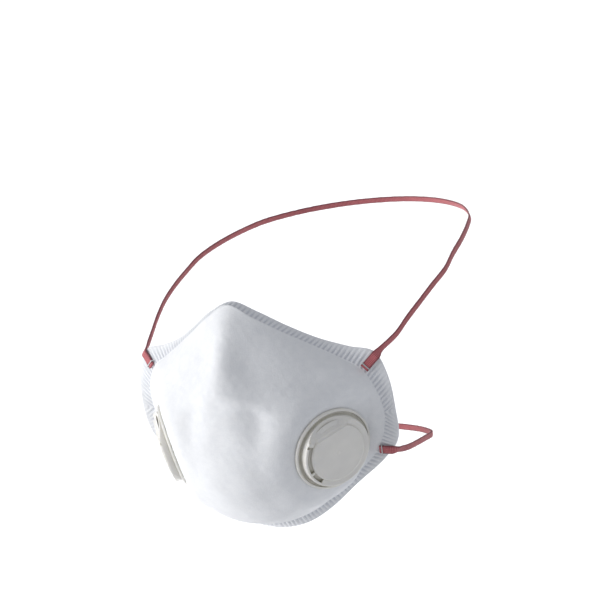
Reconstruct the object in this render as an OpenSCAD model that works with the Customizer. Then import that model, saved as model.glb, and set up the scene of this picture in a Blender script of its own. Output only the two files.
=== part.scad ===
// Moulded cup dust respirator with two exhalation valves and two elastic head straps.
// Millimetres. The wearer looks along -Y, +X is the wearer's left, +Z is up.
// The origin is the centre of the face opening, midway between the two cheek edges.

/* [Cup] */
// Width over the flange at the cheeks
mask_w = 149; // [139:1:163]
// Height from the nose edge to the chin edge
mask_h = 117; // [108:1:128]
// Depth from the crease below the nose to the flange at the jaw
mask_d = 65; // [60:1:72]
// Height of the moulded nose ridge above the cup
ridge_h = 6.2; // [3:0.1:7]
// Height of the rounded chin knob above the cup
knob_h = 2; // [1:0.1:3]

/* [Layers] */
// Thickness of each of the three moulded layers in the cup
layer_t = 0.8; // [0.5:0.1:1]
// Thickness of each layer where the flange is welded flat
flange_layer_t = 0.45; // [0.3:0.05:0.6]

/* [Nose seal] */
// Thickness of the aluminium nose strip
clip_t = 0.9; // [0.6:0.1:1.2]
// Thickness of the foam pad over it
foam_t = 4.5; // [3:0.5:6]

/* [Valve] */
// Diameter of the valve seat's weld flange
seat_d = 43.6; // [43:0.2:44]
// Diameter of the snap-on cover
cover_d = 37.6; // [37.2:0.2:38.2]
// Diameter of the hole through the three layers
port_d = 26; // [25:0.5:26.5]
// Height of the cover's flat face above the shell
cover_h = 6.2; // [6:0.1:7]
// Lift of the diaphragm from its seat when the wearer breathes out
flap_lift = 1.2; // [0.5:0.1:1.2]

/* [Straps] */
// Width of the stapled band ends
strap_w = 4.6; // [4:0.2:6]
// Width of the bands where they are stretched round the head
loop_w = 4; // [3.6:0.2:5]
// Thickness of the elastic bands
strap_t = 1; // [0.8:0.1:1.2]

/* [Hidden] */

// ---- sizes that scale the outlines below ----
outline_w = 149;
outline_h = 117;
outline_d = 65;
function fit(p) = [p[0] * mask_w / outline_w, p[1] * mask_d / outline_d, p[2] * mask_h / outline_h];

// Cup edge, from the nose down the wearer's left side to the chin
EDGE_HALF = [
    [0, -42, 56.5], [12.5, -39.5, 50.5], [25, -32.5, 43.5], [38, -24, 36.8], [50, -17, 30.5],
    [60, -12.8, 24.6], [65.8, -8, 14.5], [67.5, -1.2, 2.5], [64, 3.8, -9], [57.8, 6.8, -19],
    [46, 6.3, -30.6], [32, 5.8, -43.2], [17, 6, -51.5], [0, 6, -54.5]
];
// Outer edge of the flange, at the same stations
RIM_HALF = [
    [0, -36.5, 58.5], [13.2, -35, 53.8], [26.5, -28, 46.7], [40, -20, 40.4], [54, -14, 36.2],
    [67, -10.5, 33.2], [73, -6.5, 20], [74.2, -2.4, 5], [72.4, 4.6, -10.5], [62.4, 9, -21.5],
    [47.7, 8.5, -34], [32.5, 9, -47], [17, 11, -55.5], [0, 12, -58.5]
];
// Distance of the plain dome from the origin at the same stations, at a quarter, half and three
// quarters of the way from the front of the cup to its edge
DOME_HALF = [
    [47.2, 50.6, 57.4], [47.1, 50.2, 56.4], [47.1, 50.0, 54.4], [47.2, 50.0, 53.8], [47.2, 50.4, 54.4],
    [47.2, 51.0, 55.4], [47.2, 51.6, 55.4], [47.0, 52.2, 53.8], [47.0, 52.6, 52.4], [47.0, 52.2, 52.2],
    [46.9, 51.4, 53.6], [46.8, 50.7, 55.8], [46.5, 50.0, 56.0], [46.3, 49.6, 55.8]
];
// Distance of the front of the plain dome from the origin, before the relief is added
dome_r = 46;

stations = 2 * (len(EDGE_HALF) - 1);
function mirrored(p) = [-p[0], p[1], p[2]];
function other_side(half) = [for (k = [len(half) - 2 : -1 : 1]) mirrored(half[k])];
EDGE = [for (p = concat(EDGE_HALF, other_side(EDGE_HALF))) fit(p)];
RIM = [for (p = concat(RIM_HALF, other_side(RIM_HALF))) fit(p)];
DOME = concat(DOME_HALF, [for (k = [len(DOME_HALF) - 2 : -1 : 1]) DOME_HALF[k]]);

// Smooth curve through a closed list of points, one unit of t for each point
function between(a, b, c, d, f) =
    0.5 * (2 * b + (c - a) * f + (2 * a - 5 * b + 4 * c - d) * f * f + (3 * b - a - 3 * c + d) * f * f * f);
function curve(p, t) =
    let (n = len(p), k = floor(t))
    between(p[(k - 1 + n) % n], p[(k + n) % n], p[(k + 1 + n) % n], p[(k + 2 + n) % n], t - k);
function unit(v) = v / norm(v);
function mix(a, b, f) = a + (b - a) * f;
function step3(lo, hi, v) = let (f = min(1, max(0, (v - lo) / (hi - lo)))) f * f * (3 - 2 * f);

// ---- relief of the cup's front, added towards the front at (x, z) ----
crease_z = 9;
ridge_top_z = 66;
function ridge_width(z) = mix(17, 8, step3(crease_z, 32, z));
// Share of the way up over the arched crease, 0 below it and 1 above
function over_crease(x, z) = let (c = crease_z - pow(x / 17, 2) * 3) step3(c - 5, c + 3, z);
function nose_ridge(x, z) =
    ridge_h * (1 - step3(crease_z + 6, ridge_top_z, z)) * over_crease(x, z)
    * exp(-pow(abs(x) / ridge_width(z), 2));
snout_h = 3.2;
snout_foot_z = -46;
function snout(x, z) =
    let (foot = snout_foot_z + 9 * pow(x / 28, 2))
    snout_h * step3(foot - 4, foot + 9, z) * (1 - over_crease(x, z))
    * exp(-pow(abs(x) / mix(27, 16, step3(-32, 4, z)), 4));
knob_z = -34;
function chin_knob(x, z) = knob_h * exp(-pow(pow(x / 19, 2) + pow((z - knob_z) / 12, 2), 1.8));
// Fullness of the cup on both sides, between the snout and the valve pads
side_h = 1.8;
function side_fill(x, z) = side_h * exp(-pow((abs(x) - 26) / 8, 2) - pow((z + 8) / 14, 2));
function relief(x, z) = nose_ridge(x, z) + snout(x, z) + chin_knob(x, z) + side_fill(x, z);

// ---- flat pads that the valves sit on ----
valve_at = fit([46.2, -16.4, -15.1]);
valve_turn = 62;
valve_dip = 20;
valve_n = [sin(valve_turn) * cos(valve_dip), -cos(valve_turn) * cos(valve_dip), -sin(valve_dip)];
pad_r = 23.6;
pad_blend_r = 50;
function on_pad(dir) = dir * (valve_at * valve_n) / max(0.3, dir * valve_n);
function pad_weight(dir, s) =
    let (f = min(1, max(0, (norm(on_pad(dir) - valve_at) - pad_r) / (pad_blend_r - pad_r))))
    pow(1 - f, 3) * (1 - step3(0.965, 1, s));
function pad_side(p, dir, s) =
    let (side = dir[0] < 0 ? -1 : 1, d = [abs(dir[0]), dir[1], dir[2]], q = on_pad(d))
    mix(p, [q[0] * side, q[1], q[2]], pad_weight(d, s));

// Point of the cup's outer face: t goes round the edge, s is 1 at the edge and 0 at the front
function dome_radius(t, s, edge_r) =
    let (d = curve(DOME, t), r = [d[0], dome_r, d[0], d[1], d[2], edge_r, 2 * edge_r - d[2]],
         k = min(3, floor(4 * s)))
    between(r[k], r[k + 1], r[k + 2], r[k + 3], 4 * s - k);
function cup(t, s) =
    let (e = curve(EDGE, t), edge_r = norm(e), reach = norm([e[0], e[2]]),
         angle = acos(-e[1] / edge_r) * s,
         dir = [e[0] / reach * sin(angle), -cos(angle), e[2] / reach * sin(angle)],
         p = dir * dome_radius(t, s, edge_r),
         raised = p - [0, relief(p[0], p[2]) * (1 - step3(0.86, 1, s)), 0])
    pad_side(raised, dir, s);
// Point of the flange: q is 0 at the cup edge and 1 at the outer edge
function flange(t, q) = mix(curve(EDGE, t), curve(RIM, t), q);

// ---- one grid for all layers, so that their faces meet exactly ----
columns = 64;
FLANGE_ROWS = [1, 0.5, 0];
CUP_ROWS = [0.965, 0.92, 0.865, 0.8, 0.73, 0.66, 0.58, 0.5, 0.42, 0.34, 0.27, 0.2, 0.13, 0.06];
rows = len(FLANGE_ROWS) + len(CUP_ROWS);
clip_row = len(FLANGE_ROWS) + 1;
function station(i) = i * stations / columns;
SKIN = [
    for (j = [0 : rows - 1]) [
        for (i = [0 : columns - 1])
            j < len(FLANGE_ROWS) ? flange(station(i), FLANGE_ROWS[j])
                                 : cup(station(i), CUP_ROWS[j - len(FLANGE_ROWS)])
    ]
];
CENTRE = cup(0, 0);
function around(i) = (i + columns) % columns;
function skin_normal(j, i) =
    let (along = SKIN[j][around(i + 1)] - SKIN[j][around(i - 1)],
         inner = j == rows - 1 ? CENTRE : SKIN[j + 1][i],
         outer = j == 0 ? SKIN[0][i] : SKIN[j - 1][i])
    unit(cross(inner - outer, along));
NORMALS = [for (j = [0 : rows - 1]) [for (i = [0 : columns - 1]) skin_normal(j, i)]];
// Depth of layer face k below the outer face, thin in the flange and full in the cup
function depth(k, j) = k * mix(flange_layer_t, layer_t, step3(len(FLANGE_ROWS) - 1, len(FLANGE_ROWS) + 1, j));
function below(j, i, d) = SKIN[j][around(i)] - NORMALS[j][around(i)] * d;
function face_points(k) = concat(
    [for (j = [0 : rows - 1]) for (i = [0 : columns - 1]) below(j, i, depth(k, j))],
    [CENTRE + [0, k * layer_t, 0]]);

// One moulded layer, from layer face k to layer face k + 1
module layer(k) {
    n = rows * columns + 1;
    quads = [for (j = [0 : rows - 2]) for (i = [0 : columns - 1])
        let (a = j * columns, b = a + columns) [a + i, a + around(i + 1), b + around(i + 1), b + i]];
    last = (rows - 1) * columns;
    front = concat([for (q = quads) [q[0], q[1], q[2]]], [for (q = quads) [q[0], q[2], q[3]]],
                   [for (i = [0 : columns - 1]) [last + i, last + around(i + 1), n - 1]]);
    back = [for (f = front) [f[2] + n, f[1] + n, f[0] + n]];
    edge = [for (i = [0 : columns - 1]) let (next = around(i + 1))
        each [[i, i + n, next], [next, i + n, next + n]]];
    polyhedron(points = concat(face_points(k), face_points(k + 1)), faces = concat(front, back, edge));
}

// ---- places of the valve parts: z points out of the mask, x towards the ear, y up ----
seat_gap = 0.2;
shell_t = 3 * layer_t;
module at_valve(side) {
    mirror([side < 0 ? 1 : 0, 0, 0])
        translate(valve_at + valve_n * seat_gap)
            rotate([0, 0, valve_turn])
                rotate([90 + valve_dip, 0, 0])
                    children();
}
module valve_ports() {
    for (side = [-1, 1]) at_valve(side) cylinder(h = 30, d = port_d, center = true, $fn = 64);
}
module tube(low, high, inner_r, outer_r) {
    translate([0, 0, low]) difference() {
        cylinder(h = high - low, r = outer_r, $fn = 64);
        translate([0, 0, -1]) cylinder(h = high - low + 2, r = inner_r, $fn = 64);
    }
}

module outer_shell() {
    color("white") difference() {
        layer(0);
        valve_ports();
    }
}
module filter_layer() {
    color("whitesmoke") difference() {
        layer(1);
        valve_ports();
    }
}
module inner_shell() {
    color("snow") difference() {
        layer(2);
        valve_ports();
    }
}

// ---- nose strip and its foam, laid on the inner face of the cup below the nose edge ----
clip_columns = 7;
foam_columns = 8;
// Cross-sections as [row of the grid, depth below the inner shell], going round the piece
CLIP_SECTION = [
    [clip_row + 0.03, 0.02], [clip_row + 0.97, 0.02], [clip_row + 0.97, clip_t], [clip_row + 0.03, clip_t]
];
FOAM_SECTION = [
    [clip_row - 1, 0.05], [clip_row, 0.05], [clip_row, clip_t + 0.1], [clip_row + 1, clip_t + 0.1],
    [clip_row + 1, 0.05], [clip_row + 3, 0.05], [clip_row + 3, foam_t * 0.4],
    [clip_row + 2, foam_t], [clip_row, foam_t], [clip_row - 1, foam_t * 0.4]
];
module nose_strip(section, half_columns) {
    n = len(section);
    last = 2 * half_columns * n;
    points = [for (i = [-half_columns : half_columns]) for (c = section)
        mix(below(floor(c[0]), i, depth(3, c[0]) + c[1]), below(ceil(c[0]), i, depth(3, c[0]) + c[1]),
            c[0] - floor(c[0]))];
    sides = [for (i = [0 : 2 * half_columns - 1]) for (c = [0 : n - 1])
        let (a = i * n + c, b = i * n + (c + 1) % n) each [[a, b, b + n], [a, b + n, a + n]]];
    ends = [[for (c = [n - 1 : -1 : 0]) c], [for (c = [0 : n - 1]) last + c]];
    polyhedron(points = points, faces = concat(sides, ends));
}
module nose_clip() {
    color("silver") nose_strip(CLIP_SECTION, clip_columns);
}
module nose_foam() {
    color("dimgray") nose_strip(FOAM_SECTION, foam_columns);
}

// ---- exhalation valve ----
barrel_r = port_d / 2 - 0.25;
barrel_wall = 1.2;
barrel_in = -shell_t - 1.8;
flange_top = 1;
weld_bead_w = 1.2;
weld_bead_top = 1.5;
lip_top = 1.8;
collar_outer_r = cover_d / 2 - 1.75;
collar_top = 1.6;
collar_t = 0.8;
hub_r = 3;
hub_low = -0.5;
pin_r = 1.4;
pin_top = 3.8;
spoke_w = 1.3;
spoke_top = 1;
spoke_count = 4;
module valve_seat() {
    color("ivory") {
        tube(0, flange_top, barrel_r - barrel_wall, seat_d / 2);
        tube(flange_top, weld_bead_top, seat_d / 2 - weld_bead_w, seat_d / 2);
        tube(barrel_in, 0, barrel_r - barrel_wall, barrel_r);
        tube(flange_top, lip_top, barrel_r - barrel_wall, barrel_r);
        tube(flange_top, collar_top, collar_outer_r - collar_t, collar_outer_r);
        translate([0, 0, hub_low]) cylinder(h = lip_top - 0.1 - hub_low, r = hub_r, $fn = 48);
        translate([0, 0, spoke_top]) cylinder(h = pin_top - spoke_top, r = pin_r, $fn = 48);
        for (k = [0 : spoke_count - 1]) rotate(k * 360 / spoke_count + 45)
            translate([hub_r - 0.5, -spoke_w / 2, hub_low])
                cube([barrel_r - barrel_wall - hub_r + 1, spoke_w, spoke_top - hub_low]);
    }
}

flap_t = 0.4;
flap_r = 13.6;
flap_fit = 0.08;
module valve_diaphragm() {
    color("gainsboro") tube(lip_top + 0.02, lip_top + 0.02 + flap_t, pin_r + flap_fit, flap_r);
}

cover_r = cover_d / 2;
cover_wall = 1.4;
cover_low = flange_top + 0.02;
cover_plate = cover_h - 0.7;
cover_ceiling = cover_h - 1.4;
disc_r = 15.3;
slot_w = 2.1;
// The flat face ends at a chord, and a shoulder slopes down from there to the wall
chord_turn = 122;
chord_at = 11.7;
shoulder_top = cover_h - 0.4;
shoulder_slope = 30;
shoulder_t = 0.8;
// Outlet slots round the flat face as [start angle, end angle]
OUTLETS = [[170, 222], [226, 250]];
module sector(r, from, to) {
    steps = 6;
    polygon(concat([[0, 0]], [for (k = [0 : steps])
        let (a = from + (to - from) * k / steps) [cos(a), sin(a)] * r / cos((to - from) / steps / 2)]));
}
// Takes away what lies above the sloping shoulder, lowered by drop
module below_shoulder(drop) {
    difference() {
        children();
        rotate(chord_turn) translate([chord_at, cover_r, shoulder_top - drop]) rotate([90, 0, 0])
            linear_extrude(2 * cover_r)
                polygon([
                    [0, 0], [cover_r, -cover_r * tan(shoulder_slope)], [cover_r, cover_h], [0, cover_h]
                ]);
    }
}
module valve_cover() {
    color("ivory") difference() {
        below_shoulder(0) union() {
            rotate_extrude($fn = 96) polygon([
                [0, cover_low], [cover_r, cover_low], [cover_r - 0.3, cover_plate - 0.9],
                [cover_r - 1.1, cover_plate], [0, cover_plate]
            ]);
            translate([0, 0, cover_plate - 0.5])
                cylinder(h = cover_h - cover_plate + 0.5, r = disc_r, $fn = 96);
        }
        below_shoulder(shoulder_t) translate([0, 0, cover_low - 1])
            cylinder(h = cover_ceiling - cover_low + 1, r = cover_r - cover_wall, $fn = 96);
        for (o = OUTLETS) intersection() {
            tube(cover_ceiling - 1, cover_h + 1, disc_r, disc_r + slot_w);
            translate([0, 0, cover_ceiling - 1]) linear_extrude(3) sector(cover_r + 3, o[0], o[1]);
        }
    }
}

ring_r = 21;
ring_t = 1.4;
ring_gap = 0.15;
module valve_backing_ring() {
    ring_top = -shell_t - seat_gap - ring_gap;
    color("ivory") tube(ring_top - ring_t, ring_top, barrel_r + ring_gap, ring_r);
}

module left_valve_seat() { at_valve(1) valve_seat(); }
module left_valve_diaphragm() { at_valve(1) valve_diaphragm(); }
module left_valve_cover() { at_valve(1) valve_cover(); }
module left_valve_backing_ring() { at_valve(1) valve_backing_ring(); }
module right_valve_seat() { at_valve(-1) valve_seat(); }
module right_valve_diaphragm() { at_valve(-1) valve_diaphragm(); }
module right_valve_cover() { at_valve(-1) valve_cover(); }
module right_valve_backing_ring() { at_valve(-1) valve_backing_ring(); }

// ---- strap ends: flat pieces of band stapled across the flange ----
// Stations each band end joins, on the cup edge and on the flange's outer edge
UPPER_AT = [5.12, 5.12];
LOWER_AT = [8.7, 8.5];
// Frame of the flange there: direction outwards and face normal
function flange_out(at) = unit(curve(RIM, at[1]) - curve(EDGE, at[0]));
function flange_face(at) = unit(cross(curve(EDGE, at[0] + 0.3) - curve(EDGE, at[0] - 0.3)
    + curve(RIM, at[1] + 0.3) - curve(RIM, at[1] - 0.3), flange_out(at)));
// A box in that frame: reach along the flange, width across the band, height above the face
module on_flange(at, side) {
    o = flange_out(at);
    f = flange_face(at);
    w = cross(f, o);
    c = curve(RIM, at[1]);
    mirror([side < 0 ? 1 : 0, 0, 0])
        multmatrix([
            [o[0], w[0], f[0], c[0]],
            [o[1], w[1], f[1], c[1]],
            [o[2], w[2], f[2], c[2]],
            [0, 0, 0, 1]
        ]) children();
}
upper_end_l = 9.6;
lower_end_l = 6.8;
end_inset = 1.5;
end_lift = 0.3;
module strap_end(at, side, length) {
    color("indianred") on_flange(at, side)
        translate([-length, -strap_w / 2, end_lift]) cube([length, strap_w, strap_t]);
}
module upper_left_strap_end() { strap_end(UPPER_AT, 1, upper_end_l); }
module upper_right_strap_end() { strap_end(UPPER_AT, -1, upper_end_l); }
module lower_left_strap_end() { strap_end(LOWER_AT, 1, lower_end_l); }
module lower_right_strap_end() { strap_end(LOWER_AT, -1, lower_end_l); }

// ---- staples: a crown over the band and two legs through the flange ----
staple_l = 4.4;
staple_d = 0.5;
staple_leg = 3.4;
module staple(at, side, length) {
    color("silver") on_flange(at, side)
        translate([end_inset - length, 0, end_lift + strap_t + 0.02]) {
            translate([-staple_d / 2, -staple_l / 2, 0]) cube([staple_d, staple_l, staple_d]);
            for (y = [-staple_l / 2, staple_l / 2 - staple_d])
                translate([-staple_d / 2, y, -staple_leg])
                    cube([staple_d, staple_d, staple_leg + staple_d / 2]);
        }
}
module upper_left_staple() { staple(UPPER_AT, 1, upper_end_l); }
module upper_right_staple() { staple(UPPER_AT, -1, upper_end_l); }
module lower_left_staple() { staple(LOWER_AT, 1, lower_end_l); }
module lower_right_staple() { staple(LOWER_AT, -1, lower_end_l); }

// ---- strap loops: the free part of each band, from flange round the head to flange ----
// Route of the middle of the band on the wearer's left side, the last point is behind the head
UPPER_ROUTE = [
    [69, -6.3, 34.5], [72, 3.5, 42], [74, 12, 50], [76, 22.5, 58.5], [77, 34, 66.5], [77.5, 48, 75],
    [76, 60, 83], [72.5, 78, 91.5], [66.5, 98, 99.5], [60, 113, 104.5], [46, 132, 110],
    [25, 146, 114], [0, 152, 115.5]
];
LOWER_ROUTE = [
    [70.2, 9.7, -16.2], [69.6, 22, -15.5], [67.6, 37, -13.7], [65, 50, -12.3], [60, 68, -11],
    [53, 78, -10.2], [41, 88, -9.3], [22, 95.5, -8.5], [0, 98, -8]
];
// Points that the flat side of each band faces away from
UPPER_HUB = [0, 30, 55];
LOWER_HUB = [0, 35, -12];
function whole(half) = concat(half, [for (k = [len(half) - 2 : -1 : 0]) mirrored(half[k])]);
function along(p, t) =
    let (n = len(p), k = min(n - 2, floor(t)), a = p[max(0, k - 1)], d = p[min(n - 1, k + 2)])
    between(k == 0 ? 2 * p[0] - p[1] : a, p[k], p[k + 1], k == n - 2 ? 2 * p[n - 1] - p[n - 2] : d, t - k);
module band(half, hub) {
    route = [for (p = whole(half)) fit(p)];
    per_point = 2;
    rings = (len(route) - 1) * per_point;
    points = [for (i = [0 : rings])
        let (t = i / per_point, p = along(route, t),
             dir = unit(along(route, min(len(route) - 1, t + 0.1)) - along(route, max(0, t - 0.1))),
             w = unit(cross(dir, p - fit(hub))), out = cross(w, dir))
        each [p + w * loop_w / 2 + out * strap_t / 2, p + w * loop_w / 2 - out * strap_t / 2,
              p - w * loop_w / 2 - out * strap_t / 2, p - w * loop_w / 2 + out * strap_t / 2]];
    sides = [for (i = [0 : rings - 1]) for (c = [0 : 3])
        let (a = i * 4 + c, b = i * 4 + (c + 1) % 4) each [[a, b, b + 4], [a, b + 4, a + 4]]];
    e = rings * 4;
    ends = [[0, 3, 2], [0, 2, 1], [e, e + 1, e + 2], [e, e + 2, e + 3]];
    polyhedron(points = points, faces = concat(sides, ends));
}
module upper_strap() {
    color("indianred") band(UPPER_ROUTE, UPPER_HUB);
}
module lower_strap() {
    color("indianred") band(LOWER_ROUTE, LOWER_HUB);
}

outer_shell();
filter_layer();
inner_shell();
nose_clip();
nose_foam();
left_valve_seat();
left_valve_diaphragm();
left_valve_cover();
left_valve_backing_ring();
right_valve_seat();
right_valve_diaphragm();
right_valve_cover();
right_valve_backing_ring();
upper_strap();
lower_strap();
upper_left_strap_end();
upper_right_strap_end();
lower_left_strap_end();
lower_right_strap_end();
upper_left_staple();
upper_right_staple();
lower_left_staple();
lower_right_staple();
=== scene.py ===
"""Looks of the cup dust respirator: fabric, weld flange, valves, bands and nose pad round the CAD frame.

Lengths in the tables and functions are millimetres in the CAD frame; meshes are made in metres.
The wearer looks along -Y, +X is the wearer's left and +Z is up.
"""
import math

import bpy
import numpy as np
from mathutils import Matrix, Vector


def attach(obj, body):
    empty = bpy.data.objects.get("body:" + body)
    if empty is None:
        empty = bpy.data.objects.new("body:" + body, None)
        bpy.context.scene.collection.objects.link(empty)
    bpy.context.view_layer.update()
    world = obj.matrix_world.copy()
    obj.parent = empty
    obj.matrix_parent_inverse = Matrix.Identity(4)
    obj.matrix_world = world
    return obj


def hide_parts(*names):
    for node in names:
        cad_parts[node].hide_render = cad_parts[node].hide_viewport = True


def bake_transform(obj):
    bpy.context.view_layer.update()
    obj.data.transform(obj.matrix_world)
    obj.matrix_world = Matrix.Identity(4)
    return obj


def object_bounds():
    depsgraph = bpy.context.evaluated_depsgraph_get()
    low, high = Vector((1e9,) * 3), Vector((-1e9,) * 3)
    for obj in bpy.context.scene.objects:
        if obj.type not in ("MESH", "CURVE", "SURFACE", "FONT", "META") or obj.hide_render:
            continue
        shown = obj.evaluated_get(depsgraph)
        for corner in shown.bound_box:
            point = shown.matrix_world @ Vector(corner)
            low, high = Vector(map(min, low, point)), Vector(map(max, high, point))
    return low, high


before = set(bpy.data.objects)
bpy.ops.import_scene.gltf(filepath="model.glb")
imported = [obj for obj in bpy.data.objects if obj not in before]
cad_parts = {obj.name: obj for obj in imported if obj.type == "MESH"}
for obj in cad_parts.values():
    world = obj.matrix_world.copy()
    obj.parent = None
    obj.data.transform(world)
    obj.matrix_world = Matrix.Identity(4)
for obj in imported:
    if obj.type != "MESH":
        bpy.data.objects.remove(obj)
cad_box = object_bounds()
MM = 0.001
MASK = "mask"

# ---------------------------------------------------------------- camera and light


def look(obj, place, target):
    """Puts obj at place and turns it to face target."""
    obj.location = place
    obj.rotation_mode = "QUATERNION"
    obj.rotation_quaternion = (Vector(target) - Vector(place)).to_track_quat("-Z", "Y")
    bpy.context.scene.collection.objects.link(obj)


def camera():
    """Three-quarter view, level, from the wearer's left."""
    turn = math.radians(29)
    distance = 1.5
    right = Vector((math.cos(turn), math.sin(turn), 0))
    back = Vector((math.sin(turn), -math.cos(turn), 0))
    target = right * 0.0164 + Vector((0, 0, 0.059))
    data = bpy.data.cameras.new("camera")
    data.sensor_width = 36
    data.lens = 175.5
    data.clip_start = 0.05
    obj = bpy.data.objects.new("camera", data)
    look(obj, target + back * distance, target)
    bpy.context.scene.camera = obj
    return right, back


def lamp(name, place, size, power, colour, target=(0, 0, 0)):
    data = bpy.data.lights.new(name, "AREA")
    data.shape = "DISK"
    data.size = size
    data.energy = power
    data.color = colour
    look(bpy.data.objects.new(name, data), place, target)


def lights(right, back):
    """A broad key from the picture's left, a weak cool fill and lamps that whiten the backdrop."""
    up = Vector((0, 0, 1))
    lamp("key", right * -1.66 + back * 0.22 + up * 0.06, 0.8, 19.5, (1.0, 0.99, 0.98))
    lamp("fill", right * 1.7 + back * 0.3 + up * 0.1, 1.0, 2.2, (0.88, 0.93, 1.0))
    for name, along in (("backdrop_left", -0.9), ("backdrop_right", 0.9)):
        lamp(name, right * along + back * -0.7 + up * 1.1, 1.2, 60, (1.0, 1.0, 1.0), back * -3 + right * along)
    world = bpy.data.worlds.new("studio")
    world.use_nodes = True
    background = world.node_tree.nodes["Background"]
    background.inputs["Color"].default_value = (0.93, 0.95, 1.0, 1)
    background.inputs["Strength"].default_value = 0.45
    bpy.context.scene.world = world
    bpy.context.scene.view_settings.view_transform = "Standard"


# ---------------------------------------------------------------- the moulded surface

# Cup edge and flange edge, from the nose down the wearer's left side to the chin
EDGE_HALF = [
    [0, -42, 56.5], [12.5, -39.5, 50.5], [25, -32.5, 43.5], [38, -24, 36.8], [50, -17, 30.5],
    [60, -12.8, 24.6], [65.8, -8, 14.5], [67.5, -1.2, 2.5], [64, 3.8, -9], [57.8, 6.8, -19],
    [46, 6.3, -30.6], [32, 5.8, -43.2], [17, 6, -51.5], [0, 6, -54.5],
]
RIM_HALF = [
    [0, -36.5, 58.5], [13.2, -35, 53.8], [26.5, -28, 46.7], [40, -20, 40.4], [54, -14, 36.2],
    [67, -10.5, 33.2], [73, -6.5, 20], [74.2, -2.4, 5], [72.4, 4.6, -10.5], [62.4, 9, -21.5],
    [47.7, 8.5, -34], [32.5, 9, -47], [17, 11, -55.5], [0, 12, -58.5],
]
# Distance of the plain dome from the origin at a quarter, half and three quarters of the way out
DOME_HALF = [
    [47.2, 50.6, 57.4], [47.1, 50.2, 56.4], [47.1, 50.0, 54.4], [47.2, 50.0, 53.8], [47.2, 50.4, 54.4],
    [47.2, 51.0, 55.4], [47.2, 51.6, 55.4], [47.0, 52.2, 53.8], [47.0, 52.6, 52.4], [47.0, 52.2, 52.2],
    [46.9, 51.4, 53.6], [46.8, 50.7, 55.8], [46.5, 50.0, 56.0], [46.3, 49.6, 55.8],
]
DOME_R = 46
STATIONS = 2 * (len(EDGE_HALF) - 1)
LAYER_T = 0.8
FLANGE_LAYER_T = 0.45


def both_sides(half, mirror):
    half = np.array(half, float)
    return np.concatenate([half, half[-2:0:-1] * mirror])


EDGE = both_sides(EDGE_HALF, (-1, 1, 1))
RIM = both_sides(RIM_HALF, (-1, 1, 1))
DOME = both_sides(DOME_HALF, (1, 1, 1))


def between(a, b, c, d, f):
    return 0.5 * (2 * b + (c - a) * f + (2 * a - 5 * b + 4 * c - d) * f**2 + (3 * b - a - 3 * c + d) * f**3)


def closed_curve(points, t):
    """Smooth curve through a closed list of points, one unit of t for each point."""
    n = len(points)
    k = np.floor(t).astype(int)
    return between(points[(k - 1) % n], points[k % n], points[(k + 1) % n], points[(k + 2) % n],
                   (t - k)[..., None])


def smooth(low, high, v):
    f = np.clip((v - low) / (high - low), 0, 1)
    return f * f * (3 - 2 * f)


def mix(a, b, f):
    return a + (b - a) * f


# Heights of the moulded forms above the dome, and where they lie up and down the cup
RIDGE_H, RIDGE_TOP_Z = 6.2, 66
CREASE_Z = 9
SNOUT_H, SNOUT_FOOT_Z = 3.2, -46
KNOB_H, KNOB_Z = 2, -34
SIDE_H, SIDE_X, SIDE_Z = 1.8, 26, -8


def relief(x, z):
    """Height of the nose ridge, snout, chin knob and full cup sides above the dome."""
    x = np.abs(x)
    ridge_w = mix(17, 8, smooth(CREASE_Z, 32, z))
    crease = CREASE_Z - 3 * (x / 17) ** 2
    over = smooth(crease - 5, crease + 3, z)
    ridge = RIDGE_H * (1 - smooth(CREASE_Z + 6, RIDGE_TOP_Z, z)) * over
    ridge = ridge * np.exp(-((x / ridge_w) ** 2))
    snout_w = mix(27, 16, smooth(-32, 4, z))
    foot = SNOUT_FOOT_Z + 9 * (x / 28) ** 2
    snout = SNOUT_H * smooth(foot - 4, foot + 9, z) * (1 - over) * np.exp(-((x / snout_w) ** 4))
    knob = KNOB_H * np.exp(-(((x / 19) ** 2 + ((z - KNOB_Z) / 12) ** 2) ** 1.8))
    side = SIDE_H * np.exp(-(((x - SIDE_X) / 8) ** 2 + ((z - SIDE_Z) / 14) ** 2))
    return ridge + snout + knob + side


VALVE_AT = np.array([46.2, -16.4, -15.1])
VALVE_TURN = math.radians(62)
VALVE_DIP = math.radians(20)
VALVE_N = np.array([math.sin(VALVE_TURN) * math.cos(VALVE_DIP),
                    -math.cos(VALVE_TURN) * math.cos(VALVE_DIP), -math.sin(VALVE_DIP)])
SEAT_GAP = 0.2
PAD_R = 23.6
PAD_BLEND_R = 50


def dome_radius(t, s, edge_r):
    d = closed_curve(DOME, t)
    r = np.stack([d[..., 0], np.full_like(edge_r, DOME_R), d[..., 0], d[..., 1], d[..., 2], edge_r,
                  2 * edge_r - d[..., 2]])
    k = np.clip(np.floor(4 * s).astype(int), 0, 3)
    pick = [np.take_along_axis(r, (k + i)[None], 0)[0] for i in range(4)]
    return between(*pick, 4 * s - k)


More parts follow.
